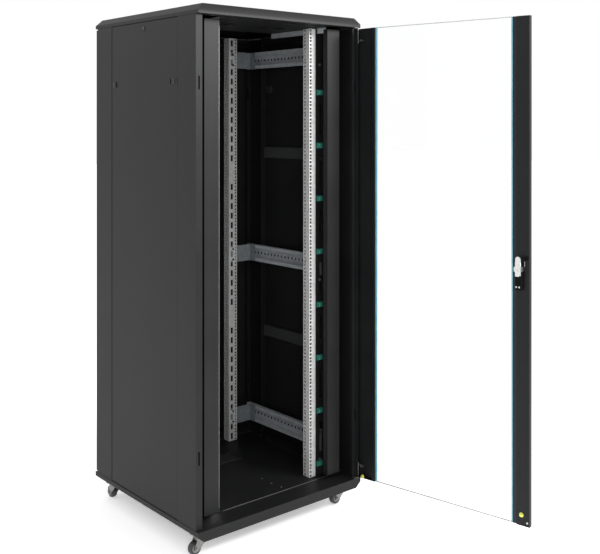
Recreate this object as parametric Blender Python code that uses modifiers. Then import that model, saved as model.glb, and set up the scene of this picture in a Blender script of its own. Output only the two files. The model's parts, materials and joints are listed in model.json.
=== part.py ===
"""Network server rack cabinet, 42U, 800 x 800: frame, glass front door, steel rear door,
removable side panels, four 19-inch rails, depth beams and four castors.
Frame: +Z up, front is -Y, origin on the floor under the middle of the footprint."""

import math

import bmesh
import bpy
from mathutils import Matrix, Vector

for old in list(bpy.data.objects):
    bpy.data.objects.remove(old, do_unlink=True)

# ---- driving sizes, metres ----
W = 0.800               # overall width
D = 0.800               # overall depth with both doors closed
UNITS = 42              # height in rack units
U = 0.04445             # one rack unit
CASTOR_H = 0.070        # floor to underside of the base
CAP_T = 0.039           # height of the base and of the top cover
RAIL_END = 0.00505      # air at each end of a 19-inch rail
GAP = 0.0003            # gap between pieces that touch
DOOR_OPEN = 100.2       # how far the front door stands open, degrees

SHEET = 0.002           # frame steel
SKIN = 0.0012           # panel and door skins
CAP_IN = 0.004          # base and top cover stand this far behind the doors' outer faces
POST_IN = 0.001         # post side faces behind the top cover's sides
POST_AIR = 0.0025       # between a closed door and the posts behind it
POST_DEEP = 0.122       # depth of a post's side face
POST_LIP = 0.028        # width of a post's front and inner lips

RAIL_HALF = 0.225       # rail opening, half width: 450 mm clear between rails
HOLE_PITCH = 0.23255    # half of the 465.1 mm hole spacing across the rails
HOLE = 0.0095           # square mounting hole
FLANGE_OUT = 0.258      # outer edge of the rail's mounting face
FOOT_OUT = 0.270        # outer edge of the rail's fixing flange
RAIL_DEEP = 0.040       # depth of a rail's web
RAIL_FRONT = 0.128      # front rail face behind the closed door's outer face
RAIL_REAR = 0.052       # rear rail face in front of the rear door's outer face

BEAM_H = 0.076          # height of a depth beam
BEAM_IN = 0.050         # the beams' open side, in from the cabinet's side
BEAM_DEEP = 0.0195      # width of a depth beam
BEAM_FRONT = 0.130      # the beams' front ends, in from the front
BEAM_REAR = 0.060       # their rear ends, in from the rear
BEZEL_IN = 0.065        # a bezel strip's outer edge, in from the cabinet's side
BEZEL_W = 0.066         # width of a bezel strip's face
BEZEL_FACE = 0.064      # its face behind the closed door's outer face
BEZEL_LOW = 0.022       # its lower end above the base
BEZEL_HIGH = 0.009      # its upper end below the top cover
INFILL = 0.125          # the strip's wing towards the post, as far back as this
STRIP_AIR = 0.032       # between a cable strip's outer edge and the beams

DOOR_T = 0.017          # thickness of both doors
DOOR_FACE = 0.0025      # door outer face behind the D/2 plane
PIVOT_IN = 0.008        # hinge axis in from the cabinet's side
DOOR_EDGE = 0.005       # door edge beyond the hinge axis, and its gap at the free side
HINGE_STILE = 0.092     # width of the stile on the hinge side
LATCH_STILE = 0.053     # width of the tube on the lock side
LATCH_BAND = 0.018      # width of the band between the tube and the glass
DOOR_SKIN = 0.0012      # steel of the front door's stiles
GLASS_T = 0.005
GLASS_IN = 0.006        # glass face behind the door's outer face
DOOR_AIR = 0.0045       # above and below each door
LOCK_IN = 0.040         # lock axis in from the door's free edge

WHEEL_R = 0.025
WHEEL_W = 0.022
TRAIL = 0.026           # axle behind the swivel axis
CASTOR_X = 0.055        # castor swivel axis in from the side
CASTOR_Y = 0.075        # castor swivel axis in from front and rear

FLOOR_Z = CASTOR_H + CAP_T
RAIL_H = UNITS * U
ROOF_Z = FLOOR_Z + RAIL_H + 2 * RAIL_END
TOP_Z = ROOF_Z + CAP_T
HX = W / 2
HY = D / 2
LOCK_Z = (FLOOR_Z + ROOF_Z) / 2
POST_FACE = DOOR_FACE + DOOR_T + POST_AIR
BEAM_X = HX - BEAM_IN
STRIP_OUT = BEAM_X - STRIP_AIR
BEAM_Z = (FLOOR_Z + 0.117, LOCK_Z - 0.068, ROOF_Z - 0.105)

parts = bpy.data.collections.new("network_server_rack_cabinet")
bpy.context.scene.collection.children.link(parts)
cutters = bpy.data.collections.new("cutters")
cutters.hide_render = True
bpy.context.scene.collection.children.link(cutters)

LOOKS = {
    "powder_black": ((0.045, 0.046, 0.047), 0.55, 0.0),
    "rail_zinc": ((0.50, 0.50, 0.49), 0.38, 0.9),
    "beam_grey": ((0.16, 0.17, 0.18), 0.45, 0.6),
    "glass_clear": ((0.80, 0.93, 0.93), 0.05, 0.0),
    "door_black": ((0.020, 0.022, 0.024), 0.50, 0.0),
    "die_cast": ((0.62, 0.62, 0.60), 0.35, 0.9),
    "plastic_black": ((0.015, 0.015, 0.015), 0.45, 0.0),
    "castor_steel": ((0.55, 0.55, 0.54), 0.32, 0.9),
    "tyre_grey": ((0.060, 0.063, 0.062), 0.60, 0.0),
}


def material(slot, name):
    """A material of this node's own, in one of the looks above."""
    color, rough, metal = LOOKS[slot]
    made = bpy.data.materials.new(name + "_" + slot)
    made.use_nodes = True
    shader = made.node_tree.nodes["Principled BSDF"]
    shader.inputs["Base Color"].default_value = (*color, 1.0)
    shader.inputs["Roughness"].default_value = rough
    shader.inputs["Metallic"].default_value = metal
    if slot == "glass_clear":
        shader.inputs["Alpha"].default_value = 0.3
    return made


def add(name, mesh, slot, loc=(0, 0, 0), rot=(0, 0, 0), parent=None):
    """Puts a mesh in the scene as one named piece."""
    piece = bpy.data.objects.new(name, mesh)
    piece.location = loc
    piece.rotation_euler = rot
    piece.parent = parent
    mesh.materials.append(material(slot, name))
    parts.objects.link(piece)
    return piece


def axis_empty(name, loc, turn=0.0, parent=None):
    """An empty on a joint's axis; what hangs from it moves about it."""
    empty = bpy.data.objects.new(name, None)
    empty.location = loc
    empty.rotation_euler = (0, 0, turn)
    empty.parent = parent
    parts.objects.link(empty)
    return empty


def extruded(outlines, depth):
    """Mesh of flat outlines pulled to this depth, centred on its own z = 0."""
    curve = bpy.data.curves.new("outline", "CURVE")
    curve.dimensions = "2D"
    curve.fill_mode = "BOTH"
    curve.extrude = depth / 2
    for points in outlines:
        spline = curve.splines.new("POLY")
        spline.points.add(len(points) - 1)
        for place, (x, y) in zip(spline.points, points):
            place.co = (x, y, 0, 1)
        spline.use_cyclic_u = True
    shape = bpy.data.objects.new("outline", curve)
    parts.objects.link(shape)
    graph = bpy.context.evaluated_depsgraph_get()
    mesh = bpy.data.meshes.new_from_object(shape.evaluated_get(graph))
    mesh.materials.clear()
    bpy.data.objects.remove(shape, do_unlink=True)
    work = bmesh.new()
    work.from_mesh(mesh)
    bmesh.ops.remove_doubles(work, verts=work.verts, dist=1e-6)
    bmesh.ops.recalc_face_normals(work, faces=work.faces)
    work.to_mesh(mesh)
    work.free()
    return mesh


def upright(name, outlines, low, high, slot, parent=None):
    """Outlines in plan, pulled from low to high."""
    mesh = extruded(outlines, high - low)
    return add(name, mesh, slot, (0, 0, (low + high) / 2), (0, 0, 0), parent)


def bent(path, thick):
    """Outline of a folded sheet: the path and the same path set over to its left."""
    far = []
    for i, point in enumerate(path):
        here = Vector(point)
        sides = []
        if i > 0:
            sides.append(here - Vector(path[i - 1]))
        if i < len(path) - 1:
            sides.append(Vector(path[i + 1]) - here)
        normals = [Vector((-side.y, side.x)).normalized() for side in sides]
        shift = normals[0]
        if len(normals) == 2:
            shift = (normals[0] + normals[1]) / (1 + normals[0].dot(normals[1]))
        far.append(here + shift * thick)
    return [tuple(point) for point in path] + [tuple(point) for point in reversed(far)]


def flip(points, sx, sy):
    return [(sx * x, sy * y) for x, y in points]


def plan(points, sx, sy):
    """Points given as (in from the side, in from the front), for the corner at signs sx, sy."""
    return [(sx * (HX - a), sy * (HY - b)) for a, b in points]


def boxes(spans):
    """One mesh of separate boxes, each given by its low and high corners."""
    work = bmesh.new()
    for low, high in spans:
        size = Vector(high) - Vector(low)
        middle = (Vector(high) + Vector(low)) / 2
        matrix = Matrix.Translation(middle) @ Matrix.Diagonal((*size, 1))
        bmesh.ops.create_cube(work, size=1, matrix=matrix)
    mesh = bpy.data.meshes.new("boxes")
    work.to_mesh(mesh)
    work.free()
    return mesh


def rod(radius, low, high, axis="Z", at=(0, 0, 0), sides=24):
    """Mesh of a round bar along an axis, from low to high on it."""
    turn = {
        "Z": Matrix(),
        "X": Matrix.Rotation(math.pi / 2, 4, "Y"),
        "Y": Matrix.Rotation(-math.pi / 2, 4, "X"),
    }
    work = bmesh.new()
    move = Matrix.Translation(at) @ turn[axis] @ Matrix.Translation((0, 0, (low + high) / 2))
    bmesh.ops.create_cone(
        work, cap_ends=True, segments=sides, radius1=radius, radius2=radius, depth=high - low, matrix=move
    )
    mesh = bpy.data.meshes.new("rod")
    work.to_mesh(mesh)
    work.free()
    return mesh


def tool(piece, mesh, operation="DIFFERENCE"):
    """Cuts or joins a mesh, given in the piece's own coordinates."""
    cutter = bpy.data.objects.new(piece.name + "_tool", mesh)
    cutter.parent = piece
    cutter.hide_render = True
    cutter.display_type = "WIRE"
    cutters.objects.link(cutter)
    change = piece.modifiers.new(operation.lower(), "BOOLEAN")
    change.operation = operation
    change.solver = "EXACT"
    change.object = cutter
    return change


def loft(rings):
    """Closed mesh through level rectangles, each given as half x, half y and z."""
    work = bmesh.new()
    loops = []
    for half_x, half_y, z in rings:
        corners = [(-half_x, -half_y), (half_x, -half_y), (half_x, half_y), (-half_x, half_y)]
        loops.append([work.verts.new((x, y, z)) for x, y in corners])
    work.faces.new(loops[0])
    work.faces.new(loops[-1])
    for low, high in zip(loops, loops[1:]):
        for i in range(4):
            work.faces.new((low[i], low[(i + 1) % 4], high[(i + 1) % 4], high[i]))
    bmesh.ops.recalc_face_normals(work, faces=work.faces)
    mesh = bpy.data.meshes.new("loft")
    work.to_mesh(mesh)
    work.free()
    return mesh


# ---- base and top cover: folded trays with a return lip ----
CAP_X = HX
CAP_Y = HY - CAP_IN
PIN_X = HX - PIVOT_IN
PIN_Y = HY - DOOR_FACE - DOOR_T / 2

base = add(
    "base_frame",
    loft([(CAP_X - 0.025, CAP_Y, CASTOR_H), (CAP_X, CAP_Y, CASTOR_H + 0.022), (CAP_X, CAP_Y, FLOOR_Z)]),
    "powder_black",
)
tool(base, loft([
    (CAP_X - 0.0265, CAP_Y - SHEET, CASTOR_H + SHEET),
    (CAP_X - SHEET, CAP_Y - SHEET, CASTOR_H + 0.0225),
    (CAP_X - SHEET, CAP_Y - SHEET, FLOOR_Z - SHEET),
]))
well = (HX - 0.125, HY - 0.135)
tool(base, boxes([((-well[0], -well[1], 0), (well[0], well[1], ROOF_Z))]))
tool(base, rod(0.0036, FLOOR_Z - 0.01, FLOOR_Z + 0.01, "Z", (PIN_X, -PIN_Y, 0), 16))

top = add(
    "top_cover",
    loft([(CAP_X, CAP_Y, ROOF_Z), (CAP_X, CAP_Y, ROOF_Z + 0.014), (CAP_X - 0.025, CAP_Y - 0.012, TOP_Z)]),
    "powder_black",
)
tool(top, loft([
    (CAP_X - SHEET, CAP_Y - SHEET, ROOF_Z + SHEET),
    (CAP_X - SHEET, CAP_Y - SHEET, ROOF_Z + 0.0135),
    (CAP_X - 0.0262, CAP_Y - 0.0135, TOP_Z - SHEET),
]))
tool(top, boxes([((-HX + 0.045, -HY + 0.050, 0), (HX - 0.045, HY - 0.050, ROOF_Z + 0.01))]))
ENTRY_X = 0.150
ENTRY_Y = (HY - 0.200, HY - 0.120)
tool(top, boxes([((-ENTRY_X, ENTRY_Y[0], ROOF_Z), (ENTRY_X, ENTRY_Y[1], TOP_Z + 0.01))]))
tool(top, rod(0.0036, ROOF_Z - 0.01, ROOF_Z + 0.006, "Z", (PIN_X, -PIN_Y, 0), 16))

floor = add(
    "floor_panel",
    boxes([((-HX + 0.055, -HY + 0.103, FLOOR_Z + GAP), (HX - 0.055, HY - 0.103, FLOOR_Z + GAP + SHEET))]),
    "powder_black",
)
tool(floor, boxes([((-ENTRY_X, HY - 0.300, 0), (ENTRY_X, HY - 0.200, ROOF_Z))]))

# ---- four corner posts ----
LOW = FLOOR_Z + GAP
HIGH = ROOF_Z - GAP
POST_BACK = POST_FACE + POST_DEEP
post_path = [
    (POST_IN + POST_LIP, POST_BACK),
    (POST_IN, POST_BACK),
    (POST_IN, POST_FACE),
    (POST_IN + POST_LIP, POST_FACE),
    (POST_IN + POST_LIP, POST_FACE + 0.014),
]
post_outline = bent(post_path, SHEET)
CORNERS = (("front_left", -1, -1), ("front_right", 1, -1), ("rear_left", -1, 1), ("rear_right", 1, 1))
SLOT_Z = (ROOF_Z - 0.251, FLOOR_Z + 0.260)
for where, sx, sy in CORNERS:
    post = upright("post_" + where, [plan(post_outline, sx, sy)], LOW, HIGH, "powder_black")
    low, high = sorted((sx * (HX - 0.012), sx * (HX - 0.018)))
    slots = []
    for z in SLOT_Z:
        at = z - (LOW + HIGH) / 2
        slots.append(((low, sy * HY - 0.030, at - 0.0245), (high, sy * HY + 0.030, at + 0.0245)))
    tool(post, boxes(slots))

# ---- front bezel strips and the cable strips behind them ----
for side, sx in (("left", -1), ("right", 1)):
    fold = bent([
        (POST_IN + POST_LIP + 0.002, INFILL), (BEZEL_IN, INFILL), (BEZEL_IN, BEZEL_FACE),
        (BEZEL_IN + BEZEL_W, BEZEL_FACE), (BEZEL_IN + BEZEL_W, BEZEL_FACE + 0.026),
    ], 0.0015)
    low, high = FLOOR_Z + BEZEL_LOW, ROOF_Z - BEZEL_HIGH
    upright("bezel_strip_" + side, [plan(fold, sx, -1)], low, high, "powder_black")
    flat = [(FOOT_OUT - 0.0075, 0.1315), (STRIP_OUT, 0.1315)]
    flat += [(STRIP_OUT, 0.1330), (FOOT_OUT - 0.0075, 0.1330)]
    outline = [(sx * x, d - HY) for x, d in flat]
    strip = upright("cable_strip_" + side, [outline], FLOOR_Z + RAIL_END, ROOF_Z - RAIL_END, "powder_black")
    slots = []
    for k in range(int(RAIL_H / (5 * U)) - 1):
        at = ROOF_Z - 0.380 - k * 5 * U - (FLOOR_Z + ROOF_Z) / 2
        low, high = sorted((sx * (FOOT_OUT + 0.014), sx * (FOOT_OUT + 0.026)))
        slots.append(((low, -HY, at - 0.0635), (high, 0, at + 0.0635)))
    tool(strip, boxes(slots))

# ---- four 19-inch rails ----
rail_outline = [
    (FLANGE_OUT, 0),
    (FLANGE_OUT, SHEET),
    (RAIL_HALF + SHEET, SHEET),
    (RAIL_HALF + SHEET, RAIL_DEEP - SHEET),
    (FOOT_OUT, RAIL_DEEP - SHEET),
    (FOOT_OUT, RAIL_DEEP),
    (RAIL_HALF, RAIL_DEEP),
    (RAIL_HALF, 0),
]
UNIT_HOLES = (0.00635, 0.022225, 0.0381)
for where, sx, sy in CORNERS:
    face = -HY + RAIL_FRONT if sy < 0 else HY - RAIL_REAR
    outline = [(sx * x, face - sy * d) for x, d in rail_outline]
    rail = upright("rail_" + where, [outline], FLOOR_Z + RAIL_END, ROOF_Z - RAIL_END, "rail_zinc")
    low, high = sorted((sx * (HOLE_PITCH - HOLE / 2), sx * (HOLE_PITCH + HOLE / 2)))
    holes = []
    for unit in range(UNITS):
        for at in UNIT_HOLES:
            z = unit * U + at - RAIL_H / 2
            holes.append(((low, face - 0.006, z - HOLE / 2), (high, face + 0.006, z + HOLE / 2)))
    tool(rail, boxes(holes))

# ---- depth beams on each side, and the brackets that carry the rails on them ----
LEVELS = ("low", "mid", "high")
beam_path = [
    (BEAM_X, -0.022),
    (BEAM_X, -BEAM_H / 2),
    (BEAM_X + BEAM_DEEP, -BEAM_H / 2),
    (BEAM_X + BEAM_DEEP, BEAM_H / 2),
    (BEAM_X, BEAM_H / 2),
    (BEAM_X, 0.022),
]
beam_outline = bent(beam_path, 0.0015)
BEAM_LONG = D - BEAM_FRONT - BEAM_REAR
BEAM_Y = (BEAM_FRONT - BEAM_REAR) / 2
for side, sx in (("left", -1), ("right", 1)):
    for level, z in zip(LEVELS, BEAM_Z):
        mesh = extruded([flip(beam_outline, sx, 1)], BEAM_LONG)
        add("beam_%s_%s" % (side, level), mesh, "beam_grey", (0, BEAM_Y, z), (math.pi / 2, 0, 0))

for where, sx, sy in CORNERS:
    if sy < 0:
        start = -HY + RAIL_FRONT + RAIL_DEEP + GAP
    else:
        start = HY - RAIL_REAR - RAIL_DEEP + 2 * SHEET + GAP
    arm = [(RAIL_HALF + 0.009, start), (BEAM_X - GAP, start), (BEAM_X - GAP, start - sy * 0.040)]
    outline = bent(arm, -sy * SHEET)
    for level, z in zip(LEVELS, BEAM_Z):
        name = "bracket_%s_%s" % (where, level)
        low, high = z - BEAM_H / 2, z + BEAM_H / 2
        upright(name, [flip(outline, sx, 1)], low, high, "beam_grey")

# ---- front door: built closed in its own frame, then stood open about its hinge axis ----
DOOR_LOW = FLOOR_Z + DOOR_AIR
DOOR_HIGH = ROOF_Z - DOOR_AIR
FREE = W - PIVOT_IN - DOOR_EDGE
LOCK_S = FREE - LOCK_IN
door = axis_empty("front_door_axis", (PIN_X, -PIN_Y, 0), math.radians(DOOR_OPEN))


def leaf(points):
    """Door outline from (along the door from the hinge, in from the outer face)."""
    return [(-s, t - DOOR_T / 2) for s, t in points]


T = DOOR_T
C = DOOR_SKIN
hinge_outline = [
    (-DOOR_EDGE, 0), (HINGE_STILE, 0), (HINGE_STILE, T), (HINGE_STILE - 0.014, T),
    (HINGE_STILE - 0.014, T - C), (HINGE_STILE - C, T - C), (HINGE_STILE - C, C), (-DOOR_EDGE + C, C),
    (-DOOR_EDGE + C, T - C), (0.006, T - C), (0.006, T), (-DOOR_EDGE, T),
]
upright("front_door_hinge_stile", [leaf(hinge_outline)], DOOR_LOW, DOOR_HIGH, "door_black", door)
TUBE = FREE - LATCH_STILE
BAND = TUBE - LATCH_BAND
latch_outline = [
    (BAND, 0.004), (TUBE, 0.004), (TUBE, 0), (FREE, 0),
    (FREE, T), (TUBE, T), (TUBE, 0.0125), (BAND, 0.0125),
]
tube_hole = [(TUBE + C, C), (FREE - C, C), (FREE - C, T - C), (TUBE + C, T - C)]
latch = upright(
    "front_door_latch_stile", [leaf(latch_outline), leaf(tube_hole)], DOOR_LOW, DOOR_HIGH, "door_black", door
)
MIDDLE = (DOOR_LOW + DOOR_HIGH) / 2
neck_low = (-LOCK_S - 0.0083, -0.02, LOCK_Z - 0.0403 - MIDDLE)
neck_high = (-LOCK_S + 0.0083, 0.02, LOCK_Z + 0.0203 - MIDDLE)
tool(latch, boxes([(neck_low, neck_high)]))
near, far = HINGE_STILE + GAP, BAND - GAP
glass = leaf([(near, GLASS_IN), (far, GLASS_IN), (far, GLASS_IN + GLASS_T), (near, GLASS_IN + GLASS_T)])
upright("front_door_glass", [glass], DOOR_LOW, DOOR_HIGH, "glass_clear", door)

# lock: dish plate outside, neck through the stile, housing and clamp bar inside
lock_x = -LOCK_S
OUT = -DOOR_T / 2


def lock_box(half, t0, t1, z0, z1):
    return ((-half, OUT + t0, z0), (half, OUT + t1, z1))


lock = add(
    "front_lock_body", boxes([lock_box(0.014, -0.0033, -GAP, -0.140, 0.020)]), "die_cast",
    (lock_x, 0, LOCK_Z), (0, 0, 0), door,
)
tool(lock, boxes([lock_box(0.008, -0.002, T + 0.006, -0.040, 0.020)]), "UNION")
tool(lock, boxes([lock_box(0.0095, T + GAP, T + 0.016, -0.070, 0.014)]), "UNION")
tool(lock, boxes([lock_box(0.0275, T + GAP, T + 0.0018, -0.014, -0.002)]), "UNION")
tool(lock, rod(0.0062, -0.1, 0.1, "Y", (0, 0, 0), 20))

rotor = axis_empty("front_lock_axis", (lock_x, 0, LOCK_Z), 0, door)
spindle = add("front_lock_cam", rod(0.0058, OUT - 0.0040, OUT + T + 0.0215, "Y", (0, 0, 0), 20), "die_cast",
              (0, 0, 0), (0, 0, 0), rotor)
tool(spindle, boxes([lock_box(0.0080, T + 0.0185, T + 0.0215, -0.020, 0.038)]), "UNION")

grip = axis_empty("front_handle_axis", (0, OUT - 0.0090, 0), 0, rotor)
handle_mesh = extruded([[
    *[(0.0045 * math.cos(a), 0.0045 * math.sin(a)) for a in [math.radians(x) for x in range(0, 181, 20)]],
    (-0.0045, -0.126), (-0.0020, -0.130), (0.0045, -0.130),
]], 0.022)
handle = add("front_handle", handle_mesh, "plastic_black", (0, 0, 0), (math.pi / 2, 0, math.pi / 2), grip)
KEY_Z = -0.112
tool(handle, rod(0.0063, -0.1, 0.1, "X", (0, KEY_Z, 0), 20))
key = add("front_key_cylinder", rod(0.0060, -0.0048, 0.0042, "Y", (0, 0, 0), 20), "die_cast",
          (0, 0, KEY_Z), (0, 0, 0), grip)

# spring hinge pins with their levers, in the open side of the hinge stile
for end, at, way in (("upper", DOOR_HIGH, 1), ("lower", DOOR_LOW, -1)):
    tip = at + way * 0.0115
    tail = at - way * 0.060
    low, high = sorted((tip, tail))
    pin = add("hinge_pin_" + end, rod(0.0030, low, high, "Z", (0, 0, 0), 16), "castor_steel",
              (0, 0, 0), (0, 0, 0), door)
    arm = at - way * 0.050
    tool(pin, boxes([((-0.030, -0.0015, arm - 0.002), (0.001, 0.0015, arm + 0.002))]), "UNION")
    tool(pin, boxes([((-0.030, -0.0010, arm - 0.0035), (-0.022, 0.0160, arm + 0.0035))]), "UNION")

# ---- rear door: one folded skin with a turn lock, closed ----
REAR_AXIS = (PIN_X, PIN_Y, 0)
rear = axis_empty("rear_door_axis", REAR_AXIS, 0)
skin_path = [(-DOOR_EDGE, T), (-DOOR_EDGE, 0), (FREE, 0), (FREE, T)]
skin = [(x, -y) for x, y in leaf(bent(skin_path, SKIN))]
panel = upright("rear_door_panel", [skin], DOOR_LOW, DOOR_HIGH, "powder_black", rear)
tool(panel, rod(0.0072, 0.0, 0.1, "Y", (lock_x, 0, LOCK_Z - MIDDLE), 20))
turn_axis = axis_empty("rear_lock_axis", (lock_x, 0, LOCK_Z), 0, rear)
knob = add("rear_door_lock", rod(0.0068, -OUT - T - 0.0215, -OUT + 0.004, "Y", (0, 0, 0), 20), "die_cast",
           (0, 0, 0), (0, 0, 0), turn_axis)
tool(knob, rod(0.0140, -OUT + 0.0004, -OUT + 0.0024, "Y", (0, 0, 0), 24), "UNION")
tool(knob, boxes([((-0.0055, -OUT - T - 0.0215, -0.008), (0.0055, -OUT - T - 0.0185, 0.030))]), "UNION")

# ---- side panels with two slide latches and a key lock each ----
PANEL_Y = HY - POST_BACK - 0.002
LATCH_Z = ROOF_Z - 0.241
LATCHES = (("front", -HY + 0.178, 1), ("rear", HY - 0.166, -1))
for side, sx in (("left", -1), ("right", 1)):
    path = [(HX - 0.020, -PANEL_Y), (HX - 0.002, -PANEL_Y), (HX - 0.002, PANEL_Y), (HX - 0.020, PANEL_Y)]
    skin = flip(bent(path, SKIN), sx, 1)
    panel = upright("side_panel_" + side, [skin], FLOOR_Z + 0.002, ROOF_Z - 0.002, "powder_black")
    mid = (FLOOR_Z + ROOF_Z) / 2
    holes = [((-1, -0.010, ROOF_Z - 0.035 - mid), (1, 0.010, ROOF_Z - 0.015 - mid))]
    for end, y, way in LATCHES:
        near, far = sorted((y - way * 0.0105, y + way * 0.0205))
        holes.append(((-1, near, LATCH_Z - 0.0105 - mid), (1, far, LATCH_Z + 0.0105 - mid)))
    tool(panel, boxes([((sx * HX - 0.010, low[1], low[2]), (sx * HX + 0.010, high[1], high[2]))
                       for low, high in holes]))
    for end, y, way in LATCHES:
        name = "side_latch_%s_%s" % (side, end)
        low, high = sorted((sx * 0.0015, sx * -0.0065))
        latch = add(name, boxes([((low, -0.010, -0.010), (high, 0.010, 0.010))]), "plastic_black",
                    (sx * (HX - 0.002), y, LATCH_Z))
        low, high = sorted((sx * -0.0020, sx * -0.0060))
        reach = sorted((0.0, -way * (PANEL_Y - 0.002 - abs(y))))
        tool(latch, boxes([((low, reach[0], -0.006), (high, reach[1], 0.006))]), "UNION")
    lock_at = (sx * (HX - 0.002), 0, ROOF_Z - 0.025)
    low, high = sorted((sx * 0.001, sx * -0.0120))
    lock = add("side_lock_" + side, rod(0.0090, low, high, "X", (0, 0, 0), 20), "plastic_black", lock_at)
    low, high = sorted((sx * -0.0095, sx * -0.0120))
    tool(lock, boxes([((low, -0.006, -0.035), (high, 0.006, 0.0))]), "UNION")

# ---- castors: pressed fork with its axle, and a wheel, each on its swivel axis ----
fork_u = [
    (-0.0165, 0.008), (-0.0140, 0.008), (-0.0140, 0.0585), (0.0140, 0.0585),
    (0.0140, 0.008), (0.0165, 0.008), (0.0165, 0.0610), (-0.0165, 0.0610),
]
fork_side = [
    (-0.022, 0.0610), (-0.022, 0.0550), (0.0170, 0.0150), (0.0260, 0.0130),
    (0.0350, 0.0200), (0.0350, 0.0300), (0.0220, 0.0550), (0.0220, 0.0610),
]
wheel_profile = [
    (0.0042, 0.0100), (0.0165, 0.0100), (0.0185, WHEEL_W / 2), (0.0225, WHEEL_W / 2),
    (WHEEL_R - 0.0006, 0.0070), (WHEEL_R, 0.0030),
]
CASTOR_TURN = {"front_left": 180, "front_right": 180, "rear_left": 90, "rear_right": 90}


def turned(profile, sides):
    """Mesh turned about the local Z axis from half a profile, mirrored below z = 0."""
    full = profile + [(r, -z) for r, z in reversed(profile)]
    outline = bpy.data.meshes.new("profile")
    edges = [(i, (i + 1) % len(full)) for i in range(len(full))]
    outline.from_pydata([(r, 0, z) for r, z in full], edges, [])
    shape = bpy.data.objects.new("profile", outline)
    parts.objects.link(shape)
    turn = shape.modifiers.new("turn", "SCREW")
    turn.steps = sides
    turn.render_steps = sides
    turn.use_merge_vertices = True
    turn.merge_threshold = 0.0001
    graph = bpy.context.evaluated_depsgraph_get()
    mesh = bpy.data.meshes.new_from_object(shape.evaluated_get(graph))
    bpy.data.objects.remove(shape, do_unlink=True)
    work = bmesh.new()
    work.from_mesh(mesh)
    bmesh.ops.recalc_face_normals(work, faces=work.faces)
    work.to_mesh(mesh)
    work.free()
    return mesh


for where, sx, sy in CORNERS:
    centre = (sx * (HX - CASTOR_X), sy * (HY - CASTOR_Y), 0)
    swivel = axis_empty("castor_axis_" + where, centre, math.radians(CASTOR_TURN[where]))
    fork = add("castor_fork_" + where, extruded([fork_u], 0.080), "castor_steel",
               (0.0065, 0, 0), (math.pi / 2, 0, math.pi / 2), swivel)
    side_mesh = extruded([[(x - 0.0065, z) for x, z in fork_side]], 0.050)
    side_mesh.transform(Matrix.Rotation(-math.pi / 2, 4, "Y"))
    tool(fork, side_mesh, "INTERSECT")
    tool(fork, rod(0.0110, 0.0600, CASTOR_H - GAP, "Y", (0, 0, -0.0065), 20), "UNION")
    tool(fork, rod(0.0036, -0.0185, 0.0185, "X", (0, WHEEL_R, TRAIL - 0.0065), 16), "UNION")
    hub = axis_empty("castor_wheel_axis_" + where, (TRAIL, 0, WHEEL_R), 0, swivel)
    wheel = add("castor_wheel_" + where, turned(wheel_profile, 24), "tyre_grey",
                (0, 0, 0), (math.pi / 2, 0, 0), hub)

for piece in parts.objects:
    if piece.type == "MESH":
        piece.data.shade_smooth()
        piece.data.set_sharp_from_angle(angle=math.radians(35))
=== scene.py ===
import json
import math

import bpy
from mathutils import Matrix, Vector


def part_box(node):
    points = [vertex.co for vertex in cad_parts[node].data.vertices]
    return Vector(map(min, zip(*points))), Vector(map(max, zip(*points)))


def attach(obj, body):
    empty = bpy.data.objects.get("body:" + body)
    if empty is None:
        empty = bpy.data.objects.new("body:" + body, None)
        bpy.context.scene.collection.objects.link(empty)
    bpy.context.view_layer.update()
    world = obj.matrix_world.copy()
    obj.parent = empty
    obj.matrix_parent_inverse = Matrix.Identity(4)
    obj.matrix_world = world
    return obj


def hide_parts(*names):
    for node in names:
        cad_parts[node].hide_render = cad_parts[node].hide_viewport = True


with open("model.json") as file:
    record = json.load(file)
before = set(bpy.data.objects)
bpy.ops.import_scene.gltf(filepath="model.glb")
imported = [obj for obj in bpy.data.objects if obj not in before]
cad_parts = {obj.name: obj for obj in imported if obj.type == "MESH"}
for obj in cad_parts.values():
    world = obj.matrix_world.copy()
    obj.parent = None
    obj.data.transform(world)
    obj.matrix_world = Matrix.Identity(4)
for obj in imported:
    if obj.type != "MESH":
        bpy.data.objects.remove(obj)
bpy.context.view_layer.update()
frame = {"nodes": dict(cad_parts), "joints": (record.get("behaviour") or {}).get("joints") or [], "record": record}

record = frame["record"]
body_of = {node: body for body, nodes in record["behaviour"]["bodies"].items() for node in nodes}
slot_of = {part["node"]: part["material_slot"] for part in record["subparts"]}
joint = {made["name"]: made for made in frame["joints"]}

# ---- sizes, metres, some of them read from the frame ----
UNIT = 0.04445
UNIT_HOLES = (0.00635, 0.022225, 0.0381)
UNITS = 42
SIDES = (("left", -1), ("right", 1))
CORNERS = (("front_left", -1, -1), ("front_right", 1, -1), ("rear_left", -1, 1), ("rear_right", 1, 1))
LEVELS = ("low", "mid", "high")
base_low, base_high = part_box("base_frame")
top_low, top_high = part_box("top_cover")
HALF_W = top_high.x
FLOOR_Z = base_high.z
ROOF_Z = top_low.z
PIVOT = Vector(joint["front_door_hinge"]["pos_m"])
DOOR_TURN = math.radians(-joint["front_door_hinge"]["range_deg"][0])
LOCK_Z = PIVOT.z
HEADER_END = HALF_W - 0.0310    # rear header and sill end here, 2 mm clear of the posts' lips
HIDDEN = (0.3745, 0.3765)       # headers and sills, from the middle to their two faces
FAN_X = 0.125                   # the fans' middles, to each side
FAN_Y = -0.141                  # and towards the front
FAN_R = 0.056                   # outer radius of a finger guard's ring openings
RING_STEP = 0.013               # from one opening to the next
RING_OPEN = 0.0095              # width of an opening
PANEL_SKIN = 0.0012             # thickness of a side panel
RIBS = (("upper", 1.452), ("lower", 0.618))     # heights of its ribs
SIDE_LOCK_Z = ROOF_Z - 0.025
WEB_X = 0.226                   # middle of a rail's web
RAIL_FOOT = 0.039               # from a rail's face to the middle of its foot
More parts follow.
